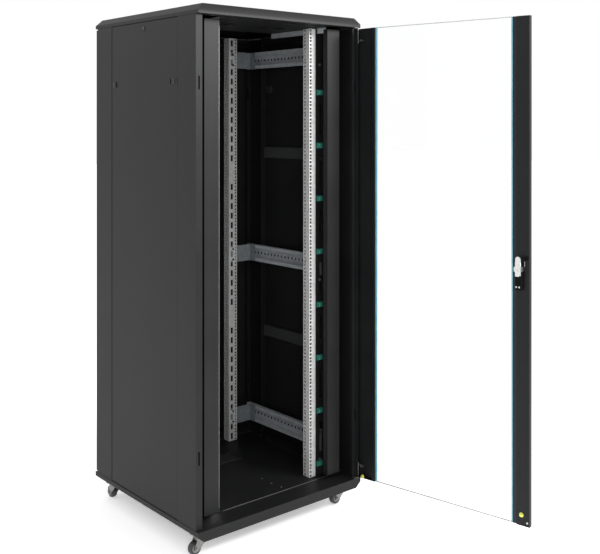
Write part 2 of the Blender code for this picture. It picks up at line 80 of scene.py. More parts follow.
CHANNEL = (0.0015, 0.0385)      # depths between which a rail's faces look into its channel; these faces are darkened as painted shade
HOLE_STEP = 0.025               # pitch of the holes in a depth beam
CLIP_X = 0.2825
CLIP_TOP = ROOF_Z - 0.2693      # the highest saddle clip
CLIPS = 8
PANE_RIM = 0.0062               # width of the green band along the pane's edges
COVER_REACH = 0.0155            # reach of the lock cover towards the closing edge, clear of the post


# ---- finishes ----
def tinted(name, dark, light, patch, rough, metal, grain, relief, stretch=(1, 1, 1), gloss=0.5):
    """A finish of two close tones in soft patches, with a fine grain in relief."""
    made = bpy.data.materials.new(name)
    made.use_nodes = True
    nodes, links = made.node_tree.nodes, made.node_tree.links
    shader = nodes["Principled BSDF"]
    place = nodes.new("ShaderNodeTexCoord")
    spread = nodes.new("ShaderNodeMapping")
    spread.inputs["Scale"].default_value = stretch
    links.new(place.outputs["Object"], spread.inputs["Vector"])
    clouds = nodes.new("ShaderNodeTexNoise")
    clouds.inputs["Scale"].default_value = patch
    clouds.inputs["Detail"].default_value = 4
    links.new(spread.outputs["Vector"], clouds.inputs["Vector"])
    tones = nodes.new("ShaderNodeValToRGB")
    tones.color_ramp.elements[0].position = 0.30
    tones.color_ramp.elements[0].color = (*dark, 1)
    tones.color_ramp.elements[1].position = 0.70
    tones.color_ramp.elements[1].color = (*light, 1)
    links.new(clouds.outputs["Fac"], tones.inputs["Fac"])
    links.new(tones.outputs["Color"], shader.inputs["Base Color"])
    sheen = nodes.new("ShaderNodeMapRange")
    sheen.inputs["To Min"].default_value = rough[0]
    sheen.inputs["To Max"].default_value = rough[1]
    links.new(clouds.outputs["Fac"], sheen.inputs["Value"])
    links.new(sheen.outputs["Result"], shader.inputs["Roughness"])
    shader.inputs["Metallic"].default_value = metal
    shader.inputs["Specular IOR Level"].default_value = gloss
    fine = nodes.new("ShaderNodeTexNoise")
    fine.inputs["Scale"].default_value = grain
    fine.inputs["Detail"].default_value = 2
    links.new(spread.outputs["Vector"], fine.inputs["Vector"])
    bump = nodes.new("ShaderNodeBump")
    bump.inputs["Strength"].default_value = relief
    bump.inputs["Distance"].default_value = 0.0003
    links.new(fine.outputs["Fac"], bump.inputs["Height"])
    links.new(bump.outputs["Normal"], shader.inputs["Normal"])
    return made


def clear_glass():
    """Toughened glass, clear, with a little uneven gloss."""
    made = tinted("clear_glass", (0.96, 0.99, 0.99), (0.98, 1.0, 1.0), 3, (0.0, 0.01), 0, 40, 0.0)
    shader = made.node_tree.nodes["Principled BSDF"]
    shader.inputs["Transmission Weight"].default_value = 1.0
    shader.inputs["IOR"].default_value = 1.45
    shader.inputs["Alpha"].default_value = 0.10
    return made


finishes = {
    "powder_black": tinted(
        "black_powder_coat", (0.0070, 0.0072, 0.0076), (0.0100, 0.0100, 0.0104),
        6, (0.42, 0.54), 0, 1500, 0.25, gloss=0.19,
    ),
    "door_black": tinted(
        "door_powder_coat", (0.0050, 0.0055, 0.0060), (0.0070, 0.0075, 0.0080),
        6, (0.38, 0.48), 0, 1500, 0.25, gloss=0.22,
    ),
    "rail_zinc": tinted(
        "bright_zinc_plate", (0.58, 0.58, 0.57), (0.70, 0.70, 0.69), 60, (0.38, 0.52), 0.30, 900, 0.08
    ),
    "beam_grey": tinted(
        "blue_zinc_plate", (0.40, 0.43, 0.45), (0.52, 0.55, 0.57), 45, (0.38, 0.52), 0.30, 900, 0.08
    ),
    "glass_clear": clear_glass(),
    "die_cast": tinted(
        "satin_die_casting", (0.56, 0.56, 0.55), (0.68, 0.68, 0.66), 120, (0.26, 0.40), 0.95, 1200, 0.10
    ),
    "plastic_black": tinted(
        "black_moulded_plastic", (0.010, 0.010, 0.011), (0.016, 0.016, 0.017), 90, (0.40, 0.52), 0, 1100, 0.30
    ),
    "castor_steel": tinted(
        "castor_zinc_plate", (0.16, 0.16, 0.155), (0.24, 0.24, 0.235), 80, (0.28, 0.40), 0.85, 1000, 0.06
    ),
    "tyre_grey": tinted(
        "grey_black_rubber", (0.016, 0.017, 0.017), (0.026, 0.027, 0.027), 70, (0.40, 0.55), 0, 1300, 0.35
    ),
}
# Zinc darkened as painted shade: it goes on the rail faces that look into their channel and on the rail bolts
painted_shade_zinc = tinted(
    "zinc_with_painted_shade", (0.04, 0.04, 0.04), (0.07, 0.07, 0.07), 60, (0.50, 0.60), 0.2, 900, 0.08, gloss=0.2
)
bracket_grey = tinted(
    "blue_grey_bracket", (0.17, 0.19, 0.205), (0.22, 0.245, 0.26), 45, (0.42, 0.52), 0.2, 900, 0.08, gloss=0.3
)
# The panel's black made lighter and glossier for the ribs: a painted highlight along them
rib_painted_highlight = tinted(
    "rib_black_painted_highlight", (0.024, 0.025, 0.025), (0.034, 0.036, 0.036), 6, (0.42, 0.54), 0, 1500, 0.25, gloss=0.4
)
band_black = tinted(
    "blue_black_band", (0.004, 0.006, 0.010), (0.006, 0.009, 0.015), 60, (0.35, 0.45), 0, 1100, 0.1, gloss=0.3
)
teal_edge = tinted("green_glass_edge", (0.15, 0.40, 0.48), (0.22, 0.48, 0.56), 20, (0.10, 0.20), 0, 300, 0.02)
green_plastic = tinted(
    "green_moulded_plastic", (0.020, 0.150, 0.115), (0.030, 0.200, 0.150), 90, (0.30, 0.42), 0, 900, 0.15
)
soft_black = tinted(
    "soft_black_moulding", (0.004, 0.004, 0.004), (0.006, 0.006, 0.006),
    90, (0.5, 0.6), 0, 1100, 0.3, gloss=0.05,
)
trim_grey = tinted("pale_trim_strip", (0.40, 0.41, 0.41), (0.50, 0.51, 0.51), 60, (0.40, 0.50), 0, 900, 0.05)
brass = tinted("passivated_brass", (0.62, 0.66, 0.14), (0.76, 0.78, 0.22), 150, (0.25, 0.38), 0.8, 900, 0.05)
bristle = tinted(
    "brush_bristles", (0.008, 0.008, 0.009), (0.030, 0.030, 0.032), 30, (0.60, 0.80), 0, 220, 0.9, (40, 1, 1)
)


# ---- shaping, by hand-tool steps ----
def only(piece):
    """Leaves this piece alone selected, and active."""
    bpy.ops.object.select_all(action="DESELECT")
    piece.select_set(True)
    bpy.context.view_layer.objects.active = piece


def settle(piece):
    """Takes a piece's place, turn and scale into its mesh."""
    only(piece)
    bpy.ops.object.transform_apply(location=True, rotation=True, scale=True)
    return piece


def done(piece, modifier):
    """Applies a modifier."""
    only(piece)
    bpy.ops.object.modifier_apply(modifier=modifier.name)


def rounded(piece, edge, steps=2, angle=30):
    """Rounds the sharp edges of a piece."""
    bevel = piece.modifiers.new("edges", "BEVEL")
    bevel.width = edge
    bevel.segments = steps
    bevel.limit_method = "ANGLE"
    bevel.angle_limit = math.radians(angle)
    done(piece, bevel)
    return shaded(piece)


def shaded(piece, angle=35):
    """Smooth shading that leaves the broad faces flat and the sharp edges sharp."""
    only(piece)
    bpy.ops.object.shade_smooth_by_angle(angle=math.radians(angle))
    weights = piece.modifiers.new("weights", "WEIGHTED_NORMAL")
    weights.keep_sharp = True
    done(piece, weights)
    return piece


def block(low, high, edge=0.0004, steps=2):
    """A bar or plate with rounded edges, given by its low and high corners."""
    bpy.ops.object.select_all(action="DESELECT")
    bpy.ops.mesh.primitive_cube_add(size=1, location=(Vector(low) + Vector(high)) / 2)
    piece = bpy.context.active_object
    bpy.ops.transform.resize(value=Vector(high) - Vector(low))
    settle(piece)
    if edge:
        rounded(piece, edge, steps)
    return piece


def stub(at, along, radius, long, edge=0.0, sides=24, steps=2):
    """A round bar that starts at a point and runs a length along a direction."""
    bpy.ops.object.select_all(action="DESELECT")
    bpy.ops.mesh.primitive_cylinder_add(vertices=sides, radius=radius, depth=long)
    piece = bpy.context.active_object
    way = Vector(along).normalized()
    piece.rotation_euler = way.to_track_quat("Z", "Y").to_euler()
    piece.location = Vector(at) + way * long / 2
    settle(piece)
    if edge:
        rounded(piece, edge, steps)
    return piece


def joined(pieces):
    """Makes several pieces one."""
    if len(pieces) == 1:
        return pieces[0]
    bpy.ops.object.select_all(action="DESELECT")
    for piece in pieces:
        piece.select_set(True)
    bpy.context.view_layer.objects.active = pieces[0]
    bpy.ops.object.join()
    return bpy.context.active_object


def row(piece, count, step):
    """Repeats a piece along a line."""
    copies = piece.modifiers.new("row", "ARRAY")
    copies.count = count
    copies.use_relative_offset = False
    copies.use_constant_offset = True
    copies.constant_offset_displace = step
    done(piece, copies)
    return piece


def combine(piece, tool, operation):
    """Cuts a piece with a tool, or welds the two, and uses the tool up."""
    change = piece.modifiers.new("combine", "BOOLEAN")
    change.operation = operation
    change.solver = "EXACT"
    change.object = tool
    done(piece, change)
    bpy.data.objects.remove(tool, do_unlink=True)
    return piece


def cut(piece, tools):
    """Takes one or more tools away from a piece."""
    return combine(piece, joined(tools), "DIFFERENCE")


def weld(piece, tool):
    """Makes a piece and a tool one solid."""
    return combine(piece, tool, "UNION")


def copy_of(node):
    """A copy of a frame node, with its loose triangles joined into flat faces."""
    source = frame["nodes"][node]
    piece = bpy.data.objects.new(node + "_copy", source.data.copy())
    bpy.context.scene.collection.objects.link(piece)
    only(piece)
    bpy.ops.object.mode_set(mode="EDIT")
    bpy.ops.mesh.select_all(action="SELECT")
    bpy.ops.mesh.remove_doubles(threshold=0.00001)
    bpy.ops.mesh.dissolve_limited(angle_limit=math.radians(0.5))
    bpy.ops.mesh.customdata_custom_splitnormals_clear()
    bpy.ops.object.mode_set(mode="OBJECT")
    return piece


def give(piece, name, finish, body):
    """Names a piece, gives it its finish and puts it on its body."""
    piece.name = name
    piece.data.name = name
    piece.data.materials.clear()
    piece.data.materials.append(finishes[finish] if isinstance(finish, str) else finish)
    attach(piece, body)
    return piece


def stand_for(piece, node, name):
    """Puts a detailed piece in the place of a frame node."""
    give(piece, name, slot_of[node], body_of[node])
    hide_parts(node)
    return piece


def eased(node, edge, ending, steps=2, angle=30):
    """Puts a copy of a frame node in its place, with its edges rounded."""
    return stand_for(rounded(copy_of(node), edge, steps, angle), node, node + ending)


def moved(piece, matrix):
    """Moves a finished mesh by a matrix."""
    piece.matrix_world = matrix @ piece.matrix_world
    return settle(piece)


def screw(at, out, radius, high):
    """A pan head screw with a cross recess."""
    head = stub((0, 0, 0), (0, 0, 1), radius, high, radius * 0.35, 20, 3)
    long, wide = radius * 0.6, radius * 0.13
    across = block((-long, -wide, high * 0.5), (long, wide, high * 2), 0)
    upright = block((-wide, -long, high * 0.5), (wide, long, high * 2), 0)
    cut(head, [weld(across, upright)])
    turn = Vector(out).normalized().to_track_quat("Z", "Y").to_matrix().to_4x4()
    return moved(head, Matrix.Translation(at) @ turn)


def hex_bolt(at, out, across, high):
    """A hexagon bolt head on its washer."""
    washer = stub((0, 0, 0), (0, 0, 1), across * 0.95, high * 0.25, high * 0.05, 24)
    head = stub((0, 0, high * 0.2), (0, 0, 1), across * 0.577, high * 0.8, high * 0.08, 6)
    turn = Vector(out).normalized().to_track_quat("Z", "Y").to_matrix().to_4x4()
    return moved(joined([washer, head]), Matrix.Translation(at) @ turn)


# ---- camera, light and floor ----
def studio():
    """Camera, white surroundings, three soft lights and a pale floor."""
    scene = bpy.context.scene
    scene.view_settings.view_transform = "Standard"
    sight = bpy.data.cameras.new("camera")
    sight.lens = 55.03
    sight.sensor_width = 36
    sight.shift_x = -0.0563
    sight.shift_y = -0.256
    camera = bpy.data.objects.new("camera", sight)
    camera.location = (-2.2206, -3.1964, 1.5869)
    camera.rotation_euler = (math.radians(90), 0, math.radians(-41.43))
    scene.collection.objects.link(camera)
    scene.camera = camera

    sky = bpy.data.worlds.new("studio_sky")
    sky.use_nodes = True
    sky.node_tree.nodes["Background"].inputs["Color"].default_value = (1, 1, 1, 1)
    sky.node_tree.nodes["Background"].inputs["Strength"].default_value = 1.0
    scene.world = sky
    for name, place, aim, size, power in (
        ("front_softbox", (1.7, -3.3, 2.8), (-0.1, -0.3, 2.1), (1.6, 0.8), 185),
        ("camera_softbox", (-2.8, -4.6, 2.6), (0.2, 0.0, 1.1), (1.6, 1.6), 55),
        ("side_softbox", (-3.0, 3.0, 3.4), (-0.4, 0.0, 1.9), (1.6, 1.2), 14),
    ):
        lamp = bpy.data.lights.new(name, "AREA")
        lamp.shape = "RECTANGLE"
        lamp.size, lamp.size_y = size
        lamp.energy = power
        light = bpy.data.objects.new(name, lamp)
        light.location = place
        light.rotation_euler = (Vector(aim) - Vector(place)).to_track_quat("-Z", "Y").to_euler()
        scene.collection.objects.link(light)

    bpy.ops.object.select_all(action="DESELECT")
    bpy.ops.mesh.primitive_plane_add(size=60, location=(0, 0, -0.0005))
    floor = bpy.context.active_object
    floor.name = "studio_floor"
    pale = tinted("pale_floor", (0.86, 0.86, 0.86), (0.89, 0.89, 0.89), 0.6, (0.75, 0.85), 0, 60, 0.02)
    shader = pale.node_tree.nodes["Principled BSDF"]
    shader.inputs["Emission Color"].default_value = (1, 1, 1, 1)
    shader.inputs["Emission Strength"].default_value = 0.38
    floor.data.materials.append(pale)
    settle(floor)


# ---- sheet metal of the cabinet ----
def plain_sheets():
    """Folded sheets that need only their edges eased."""
    for node in ("top_cover", "base_frame", "floor_panel"):
        eased(node, 0.0008, "_steel")
    for side, _ in SIDES:
        eased("bezel_strip_" + side, 0.0005, "_steel")
    for where, _, _ in CORNERS:
        eased("post_" + where, 0.0005, "_steel")


def angle_bar(low, high, lip_low, lip_high):
    """An upright strip with a level lip."""
    return rounded(weld(block(low, high, 0), block(lip_low, lip_high, 0)), 0.0004, 2)


def hidden_members():
    """Headers and sills between the posts, behind the rear door and the side panels."""
    panel_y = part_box("side_panel_right")[1].y - 0.003
    for level, z0, z1, lip in (
        ("header", ROOF_Z - 0.034, ROOF_Z - 0.0006, ROOF_Z - 0.034),
        ("sill", FLOOR_Z + 0.0006, FLOOR_Z + 0.034, FLOOR_Z + 0.032),
    ):
        bar = angle_bar(
            (-HEADER_END, HIDDEN[0], z0),
            (HEADER_END, HIDDEN[1], z1),
            (-HEADER_END, 0.3640, lip),
            (HEADER_END, 0.3760, lip + 0.002),
        )
        give(bar, "rear_" + level, "powder_black", "cabinet")
        for side, sx in SIDES:
            near, far = sorted((sx * HIDDEN[0], sx * HIDDEN[1]))
            edge_near, edge_far = sorted((sx * 0.3760, sx * 0.3655))
            bar = angle_bar(
                (near, -panel_y, z0),
                (far, panel_y, z1),
                (edge_near, -panel_y, lip),
                (edge_far, panel_y, lip + 0.002),
            )
            give(bar, "side_%s_%s" % (level, side), "powder_black", "cabinet")


def fan_tray():
    """A shallow folded tray in the recess of the roof, with two finger guards."""
    low, high = Vector((-0.273, -0.330, ROOF_Z - 0.0005)), Vector((0.273, 0.048, ROOF_Z + 0.0170))
    tray = block(low, high, 0)
    cut(tray, [block(low + Vector((0.0015, 0.0015, 0.0015)), high + Vector((-0.0015, -0.0015, 0.01)), 0)])
    tools = []
    for x in (-FAN_X, FAN_X):
        for ring in range(4):
            outer = FAN_R - RING_STEP * ring
            hole = stub((x, FAN_Y, low.z - 0.01), (0, 0, 1), outer, 0.02, 0, 40)
            if ring < 3:
                inner = outer - RING_OPEN
                cut(hole, [stub((x, FAN_Y, low.z - 0.02), (0, 0, 1), inner, 0.04, 0, 40)])
            for spoke in range(2):
                bar = block((-0.07, -0.003, -0.02), (0.07, 0.003, 0.02), 0)
                turn = Matrix.Rotation(math.radians(45 + 90 * spoke), 4, "Z")
                moved(bar, Matrix.Translation((x, FAN_Y, low.z)) @ turn)
                cut(hole, [bar])
            tools.append(hole)
    cut(tray, tools)
    give(rounded(tray, 0.0004, 1), "roof_fan_tray", "powder_black", "cabinet")
    flange = block((0.2715, -0.322, ROOF_Z - 0.0230), (0.2730, 0.048, ROOF_Z - 0.0010), 0.0005, 1)
    give(flange, "fan_tray_flange", "beam_grey", "cabinet")


def brush_pair(name, y0, y1, z, half):
    """Two rows of bristles that meet in the middle of a cable entry, in their holders."""
    middle = (y0 + y1) / 2
    for end, edge, way in (("front", y0, 1), ("rear", y1, -1)):
        near, far = sorted((edge + way * 0.0005, edge + way * 0.008))
        holder = block((-half, near, z - 0.003), (half, far, z + 0.003), 0.001, 2)
        give(holder, "%s_holder_%s" % (name, end), "plastic_black", "cabinet")
        near, far = sorted((edge + way * 0.006, middle + way * 0.002))
        tuft = block((-half, near, z - 0.0014), (-half + 0.0022, far, z + 0.0014), 0.0003, 1)
        row(tuft, 119, (0.0025, 0, 0))
        give(tuft, "%s_bristles_%s" % (name, end), bristle, "cabinet")


# ---- side panels ----
def latch_place(side, end):
    """Middle of a latch's button, and the way its tongue is drawn back."""
    low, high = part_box("side_latch_%s_%s" % (side, end))
    level = (low.z + high.z) / 2
    return (high.y - 0.010, level, 1) if end == "front" else (low.y + 0.010, level, -1)


def side_panels():
    """Panels with their ribs, latch housings and slots."""
    for side, sx in SIDES:
        node = "side_panel_" + side
        body = body_of[node]
        low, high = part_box(node)
        out = sx * max(abs(low.x), abs(high.x))
        skin = out - sx * PANEL_SKIN
        panel = copy_of(node)
        marks = [("top", -0.016, SIDE_LOCK_Z - 0.005, 0.009)]
        for end in ("front", "rear"):
            y, z, way = latch_place(side, end)
            marks.append((end, y - 0.028, z, 0.014))
        tools = []
        for end, y, z, tall in marks:
            tools.append(block((out - 0.01, y - 0.0012, z - tall), (out + 0.01, y + 0.0012, z + tall), 0))
        cut(panel, tools)
        stand_for(rounded(panel, 0.0004, 2), node, node + "_steel")
        near, far = sorted((skin - sx * 0.0002, skin - sx * 0.0016))
        for end, y, z, tall in marks:
            strip = block((near, y - 0.003, z - tall - 0.002), (far, y + 0.003, z + tall + 0.002), 0.0003, 1)
            give(strip, "slot_backing_%s_%s" % (side, end), "plastic_black", body)
        for level, z in RIBS:
            near, far = sorted((skin - sx * 0.0003, skin - sx * 0.0150))
            rib = block((near, -0.248, z - 0.026), (far, 0.251, z + 0.026), 0.004, 3)
            # The ribs take the lighter black, a painted highlight
            give(rib, "panel_rib_%s_%s" % (side, level), rib_painted_highlight, body)
        for end in ("front", "rear"):
            latch_node = "side_latch_%s_%s" % (side, end)
            y, z, way = latch_place(side, end)
            near, far = sorted((skin - sx * 0.0004, skin - sx * 0.0110))
            y0, y1 = sorted((y - way * 0.0125, y + way * 0.0225))
            cover = block((near, y0 - 0.003, z - 0.0150), (far, y1 + 0.003, z + 0.0150), 0.001, 2)
            cut(cover, [block((skin - 0.0094, y0, z - 0.0125), (skin + 0.0094, y1, z + 0.0125), 0)])
            path = sorted((y, y - way * 0.05))
            cut(cover, [block((skin - 0.0070, path[0], z - 0.0070), (skin + 0.0070, path[1], z + 0.0070), 0)])
            boss = stub((skin - sx * 0.0100, y, z), (-sx, 0, 0), 0.0090, 0.004, 0.0008, 28)
            give(joined([cover, boss]), "latch_housing_%s_%s" % (side, end), "plastic_black", body)
            latch = copy_of(latch_node)
            groove_x = sorted((out - sx * 0.0005, out + sx * 0.006))
            grooves = []
            for at in (-0.0045, 0.0, 0.0045):
                low_end = (groove_x[0], y + at - 0.0009, z - 0.0070)
                high_end = (groove_x[1], y + at + 0.0009, z + 0.0070)
                grooves.append(block(low_end, high_end, 0))
            cut(latch, grooves)
            stand_for(rounded(latch, 0.0004, 2), latch_node, latch_node + "_moulded")
        lock_node = "side_lock_" + side
        lock = copy_of(lock_node)
        near, far = sorted((out - sx * 0.0015, out + sx * 0.006))
        keyway = block((near, -0.0007, SIDE_LOCK_Z - 0.0045), (far, 0.0007, SIDE_LOCK_Z + 0.0045), 0)
        cut(lock, [keyway])
        stand_for(rounded(lock, 0.0005, 2), lock_node, lock_node + "_moulded")
        near, far = sorted((skin - sx * 0.0004, skin - sx * 0.0080))
        collar = block((near, -0.0150, SIDE_LOCK_Z - 0.0140), (far, 0.0150, SIDE_LOCK_Z + 0.0140), 0.001, 2)
        cut(collar, [stub((skin - 0.02, 0, SIDE_LOCK_Z), (1, 0, 0), 0.0096, 0.04, 0, 32)])
        give(collar, "lock_collar_" + side, "plastic_black", body)


# ---- rails, beams and what is fixed to them ----
def rails():
    """Zinc plated rails: square holes from the frame, and rows of round holes and slots."""
    for where, sx, sy in CORNERS:
        node = "rail_" + where
        low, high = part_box(node)
        face = low.y if sy < 0 else high.y
        piece = copy_of(node)
        tools = []
        deep = 0.030 if sy < 0 else 0.015
        web_x = sx * WEB_X
        foot_y = face - sy * RAIL_FOOT
        for z in UNIT_HOLES:
            at = low.z + z
            hole = stub((web_x - 0.006, face - sy * deep, at), (1, 0, 0), 0.0054, 0.012, 0, 8)
            tools.append(row(hole, UNITS, (0, 0, UNIT)))
            hole = stub((sx * 0.2625, foot_y - 0.006, at), (0, 1, 0), 0.0046, 0.012, 0, 8)
            tools.append(row(hole, UNITS, (0, 0, UNIT)))
        for first, count in ((0, 12), (14, 13), (29, 13)):
            at = low.z + first * UNIT + 0.022
            left, right = sx * 0.2415 - 0.006, sx * 0.2415 + 0.006
            slot = block((left, foot_y - 0.006, at - 0.014), (right, foot_y + 0.006, at + 0.014), 0)
            tools.append(row(slot, count, (0, 0, UNIT)))
        cut(piece, tools)
        stand_for(shaded(piece, 30), node, node + "_punched")
        # The faces that look into the channel take the darkened zinc, as painted shade
        piece.data.materials.append(painted_shade_zinc)
        for part in piece.data.polygons:
            depth = (part.center.y - face) * -sy
            part.material_index = int(CHANNEL[0] < depth < CHANNEL[1] and abs(part.center.x) > WEB_X + 0.0005)


def beams():
    """Depth beams with a row of holes, and the brackets with their bolts."""
    for side, sx in SIDES:
        for level in LEVELS:
            node = "beam_%s_%s" % (side, level)
            low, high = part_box(node)
            middle = (low.z + high.z) / 2
            piece = copy_of(node)
            count = int((high.y - low.y - 0.02) / HOLE_STEP) + 1
            start = (low.y + high.y) / 2 - (count - 1) * HOLE_STEP / 2
            first = stub((sx * 0.360, start, middle), (sx, 0, 0), 0.0060, 0.03, 0, 8)
            cut(piece, [row(first, count, (0, HOLE_STEP, 0))])
            stand_for(rounded(piece, 0.0004, 1), node, node + "_punched")
    for where, sx, sy in CORNERS:
        for level in LEVELS:
            node = "bracket_%s_%s" % (where, level)
            low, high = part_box(node)
            bracket = give(rounded(copy_of(node), 0.0008, 2), node + "_folded", bracket_grey, "cabinet")
            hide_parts(node)
            arm_y = low.y if sy < 0 else high.y
            bolts = []
            for z in (low.z + 0.014, high.z - 0.014):
                bolts.append(hex_bolt((sx * 0.2480, arm_y + sy * -0.0020, z), (0, -sy, 0), 0.0090, 0.005))
            # The rail bolts take the darkened zinc: painted shade in place of their highlights
            bolts = give(joined(bolts), "rail_bolts_%s_%s" % (where, level), painted_shade_zinc, "cabinet")


def cable_strips():
    """The strips beside the front rails, with saddle clips between their slots."""
    for side, sx in SIDES:
        node = "cable_strip_" + side
        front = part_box(node)[0].y
        eased(node, 0.0003, "_slotted", 1)
        for k in range(CLIPS):
            z = CLIP_TOP - k * 5 * UNIT
            x = sx * CLIP_X
            plate = block(
                (x - 0.0165, front - 0.0034, z - 0.0115), (x + 0.0165, front - 0.0003, z + 0.0115), 0.001, 2
            )
            arch = block(
                (x - 0.0095, front - 0.0120, z - 0.0085), (x + 0.0095, front - 0.0020, z + 0.0085), 0.0025, 3
            )
            clip = weld(plate, arch)
            cut(clip, [stub((x - 0.03, front - 0.0062, z), (1, 0, 0), 0.0034, 0.06, 0, 20)])
            shaded(clip)
            give(clip, "cable_clip_%s_%d" % (side, k + 1), green_plastic, "cabinet")
        bolts = []
        for level in LEVELS:
            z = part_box("beam_%s_%s" % (side, level))[0].z - 0.010
            bolts.append(hex_bolt((sx * 0.2840, front - 0.0002, z), (0, -1, 0), 0.0070, 0.005))
        give(joined(bolts), "strip_bolts_" + side, "castor_steel", "cabinet")


def floor_details():
    """Front edge strip of the floor panel, and its screws."""
    low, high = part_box("floor_panel")
    trim = block(
        (low.x + 0.12, low.y - 0.0016, high.z - 0.0016),
        (high.x - 0.02, low.y - 0.0002, high.z + 0.0004),
        0.0003,
        1,
    )
    give(trim, "floor_edge_trim", "castor_steel", "cabinet")
    heads = []
    for x, y in ((0.076, -0.142), (0.076, -0.207), (0.083, -0.265)):
        heads.append(screw((x, y, high.z), (0, 0, 1), 0.0034, 0.0018))
    give(joined(heads), "floor_screws", "castor_steel", "cabinet")


# ---- front door ----
door_place = Matrix.Translation((PIVOT.x, PIVOT.y, 0)) @ Matrix.Rotation(DOOR_TURN, 4, "Z")


def in_door(node):
    """A node's low and high corners in the closed door's own directions, from its hinge axis."""
    back = door_place.inverted()
    points = [back @ corner.co for corner in frame["nodes"][node].data.vertices]
    low = Vector([min(point[i] for point in points) for i in range(3)])
    high = Vector([max(point[i] for point in points) for i in range(3)])
    return low, high


def hang(piece):
    """Turns a piece made in the closed door's directions to where the door stands."""
    return moved(piece, door_place)


def glazing():
    """The pane with its green edges, and a trim along its top and bottom."""
    low, high = in_door("front_door_glass")
    pane = block(low, high, 0)
    only(pane)
    bpy.ops.object.mode_set(mode="EDIT")
    for x in (low.x + PANE_RIM, high.x - PANE_RIM):
        bpy.ops.mesh.select_all(action="SELECT")
        bpy.ops.mesh.bisect(plane_co=(x, 0, 0), plane_no=(1, 0, 0))
    bpy.ops.object.mode_set(mode="OBJECT")
    hang(pane)
    stand_for(pane, "front_door_glass", "front_door_pane")
    pane.data.materials.append(teal_edge)
    back = door_place.inverted()
    for face in pane.data.polygons:
        x = (back @ face.center).x
        face.material_index = int(not low.x + PANE_RIM < x < high.x - PANE_RIM)
    for end, z0, z1 in (
        ("top", high.z - 0.0022, high.z + 0.0006),
        ("bottom", low.z - 0.0006, low.z + 0.0022),
    ):
        trim = block((low.x + 0.0005, low.y - 0.0012, z0), (high.x - 0.0005, high.y + 0.0012, z1), 0.0004, 1)
        room = Vector((0.01, 0.0001, 0.0001))
        inner = block(low - room, high + room, 0)
        trim = give(hang(cut(trim, [inner])), "pane_trim_" + end, trim_grey, "front_door")


def door_stiles():
    """The two stiles, with the seam, gasket, earth studs and screw of the lock side."""
    for node in ("front_door_hinge_stile", "front_door_latch_stile"):
        eased(node, 0.0006, "_folded")
    low, high = in_door("front_door_latch_stile")
    inside = high.y
    outer = low.x
    seam = block(
        (outer + 0.0140, inside - 0.0006, low.z + 0.02),
        (outer + 0.0150, inside + 0.0006, high.z - 0.02),
        0.0002,
        1,
    )
    give(hang(seam), "latch_stile_seam", "door_black", "front_door")
    band = block(
        (high.x - 0.0165, inside - 0.0045, low.z + 0.001),
        (high.x - 0.0015, inside - 0.0030, high.z - 0.001),
        0.0005,
        2,
    )
    give(hang(band), "pane_gasket", band_black, "front_door")
    for end, s, z in (("hinge_side", 0.030, low.z + 0.0075), ("lock_side", 0.7545, low.z + 0.0400)):
        washer = stub((-s, inside - 0.001, z), (0, 1, 0), 0.0085, 0.0022, 0.0005, 24)
        stud = stub((-s, inside, z), (0, 1, 0), 0.0048, 0.0090, 0.0010, 24, 3)
        nut = stub((-s, inside + 0.0008, z), (0, 1, 0), 0.0068, 0.0042, 0.0004, 6)
        stud = hang(joined([washer, stud, nut]))
        give(stud, "earth_stud_" + end, brass, "front_door")
    head = hang(screw((-0.7775, inside, low.z + 0.0150), (0, 1, 0), 0.0036, 0.0020))
    give(head, "latch_stile_screw", "die_cast", "front_door")


